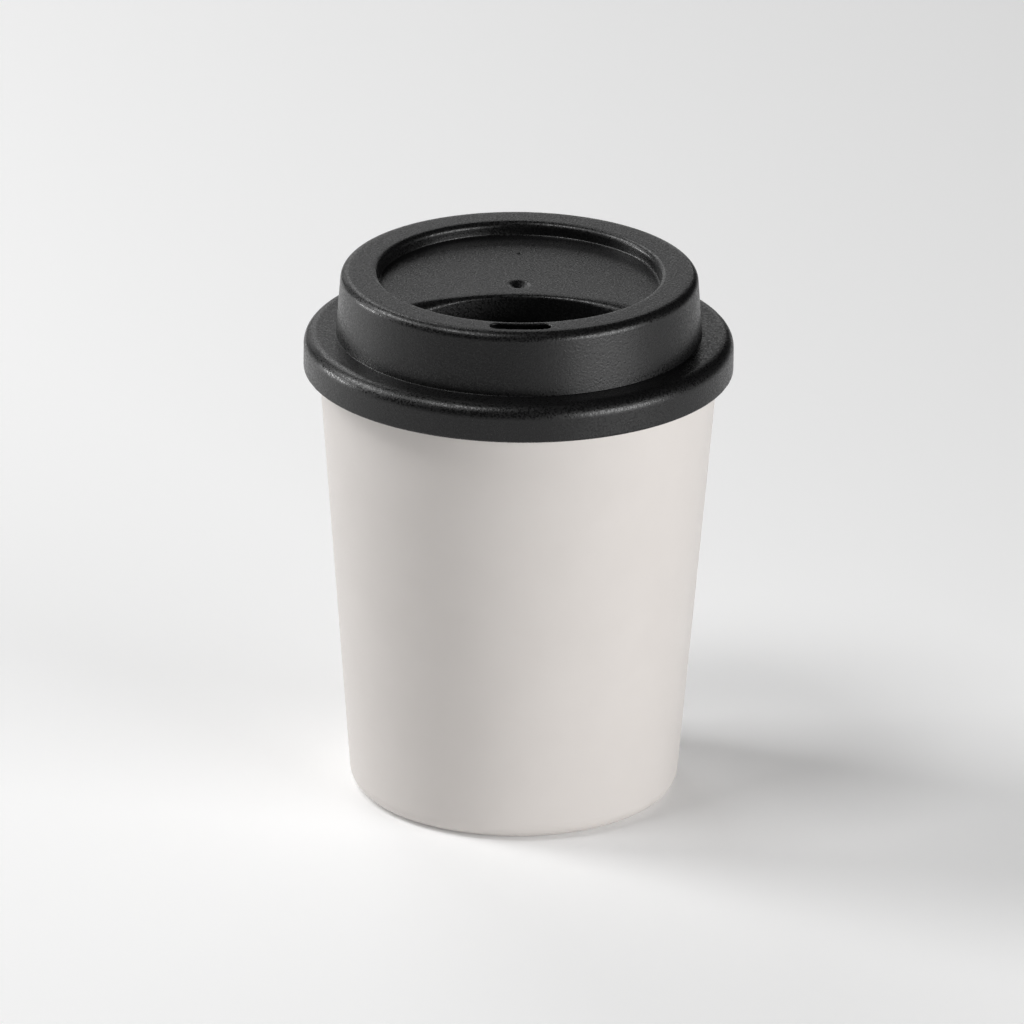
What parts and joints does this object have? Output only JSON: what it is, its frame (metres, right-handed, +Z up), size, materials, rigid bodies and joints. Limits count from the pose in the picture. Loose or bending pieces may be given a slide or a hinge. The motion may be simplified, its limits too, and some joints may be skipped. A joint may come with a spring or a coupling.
{
  "type": "reusable coffee cup",
  "caption": "Tapered plastic coffee cup with a stepped push-on lid that has a curved sip slot, a lip pocket and an air hole.",
  "frame": {"origin": "centre of the cup's foot, on the surface it stands on", "axes": "+Z up the cup's axis, -Y towards the sip slot"},
  "size_m": [0.09, 0.09, 0.1147],
  "materials": {
    "cup_plastic": "fine satin, warm light grey",
    "lid_plastic": "fine matt grain, black"
  },
  "bodies": {
    "cup": {"cup_body": "cup_plastic"},
    "lid_body": {"lid": "lid_plastic"}
  },
  "joints": [
    {"name": "lid_lift", "type": "slide", "parent": "cup", "child": "lid_body", "axis": [0, 0, 1], "range_m": [0, 0.035]}
  ]
}
